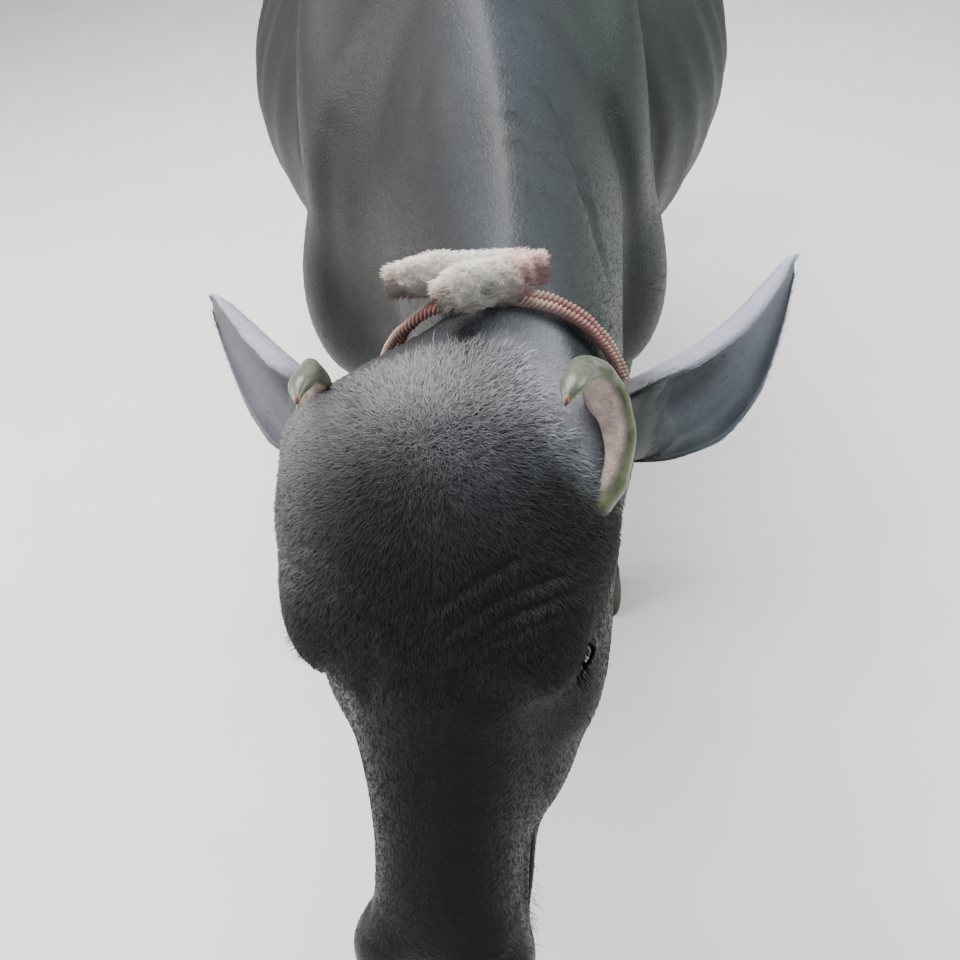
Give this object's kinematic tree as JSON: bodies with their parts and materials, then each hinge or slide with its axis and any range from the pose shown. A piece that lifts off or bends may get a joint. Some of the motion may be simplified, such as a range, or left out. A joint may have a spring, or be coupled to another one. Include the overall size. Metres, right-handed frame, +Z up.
{
  "type": "water buffalo model",
  "caption": "Life-size standing river buffalo cow with lowered head, curled horns, wide ears, udder, cloven hooves, switched tail and a knotted rope collar.",
  "frame": {"origin": "middle of the animal's outline seen from above, at floor level under its hooves", "axes": "+Z up, the animal faces -Y, its left side is towards +X"},
  "size_m": [0.87, 2.4524, 1.3225],
  "materials": {
    "hide": "short sparse hair over charcoal skin",
    "ear": "thin blue-grey skin with short hair",
    "udder": "soft bare skin",
    "horn": "grey-green keratin with growth rings",
    "hoof": "dark keratin",
    "eye": "wet and dark",
    "hair": "coarse black hair",
    "collar_rope": "pink-stained twisted cotton",
    "knot_cotton": "dirty off-white cotton"
  },
  "bodies": {
    "root": {"torso": "hide", "neck": "hide", "head": "hide", "ear_left": "ear", "ear_right": "ear", "horn_left": "horn", "horn_right": "horn", "eye_left": "eye", "eye_right": "eye", "foreleg_left": "hide", "foreleg_right": "hide", "hind_leg_left": "hide", "hind_leg_right": "hide", "foreleg_left_claw_inner": "hoof", "foreleg_left_claw_outer": "hoof", "foreleg_right_claw_inner": "hoof", "foreleg_right_claw_outer": "hoof", "hind_leg_left_claw_inner": "hoof", "hind_leg_left_claw_outer": "hoof", "hind_leg_right_claw_inner": "hoof", "hind_leg_right_claw_outer": "hoof", "udder": "udder", "tail": "hide", "tail_switch": "hair", "collar_strand_front": "collar_rope", "collar_strand_back": "collar_rope", "knot_front": "knot_cotton", "knot_back": "knot_cotton"}
  },
  "joints": []
}
